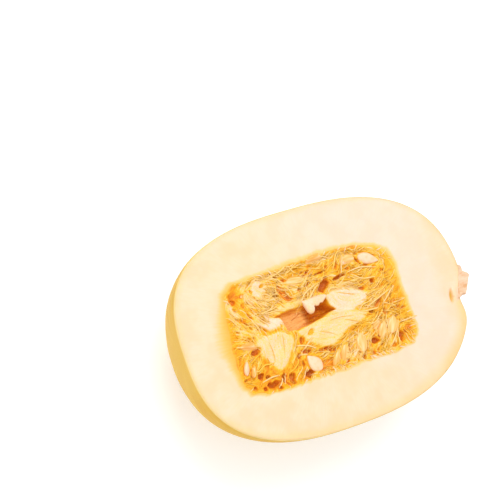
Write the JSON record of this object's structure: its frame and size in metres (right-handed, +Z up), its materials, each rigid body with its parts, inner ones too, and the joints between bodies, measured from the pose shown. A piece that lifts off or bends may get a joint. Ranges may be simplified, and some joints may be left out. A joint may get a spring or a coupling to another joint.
{
  "type": "halved spaghetti squash",
  "caption": "Half of an oblong squash cut lengthwise, cut face up, with thick pale flesh, a stringy seed cavity and a cut stem stub.",
  "frame": {"origin": "middle of the small flat spot on the rind that the half rests on, under its widest ring", "axes": "+X along the fruit to the stem end, +Y across the cut face, +Z up through the cut face"},
  "size_m": [0.2056, 0.1401, 0.0749],
  "materials": {
    "rind": "smooth waxy golden-yellow vegetable skin with fine cream flecks that run lengthwise",
    "flesh": "moist cream-coloured cut squash flesh with faint radial fibres",
    "pulp": "wet orange-gold strands and pale skins of squash pulp",
    "seed": "smooth cream seed coat with a satin sheen",
    "stem": "dry corky grey-tan squash stem"
  },
  "bodies": {
    "root": {"rind_and_flesh": "rind", "pulp_and_seeds": "pulp", "stem_stub": "stem"}
  },
  "joints": []
}
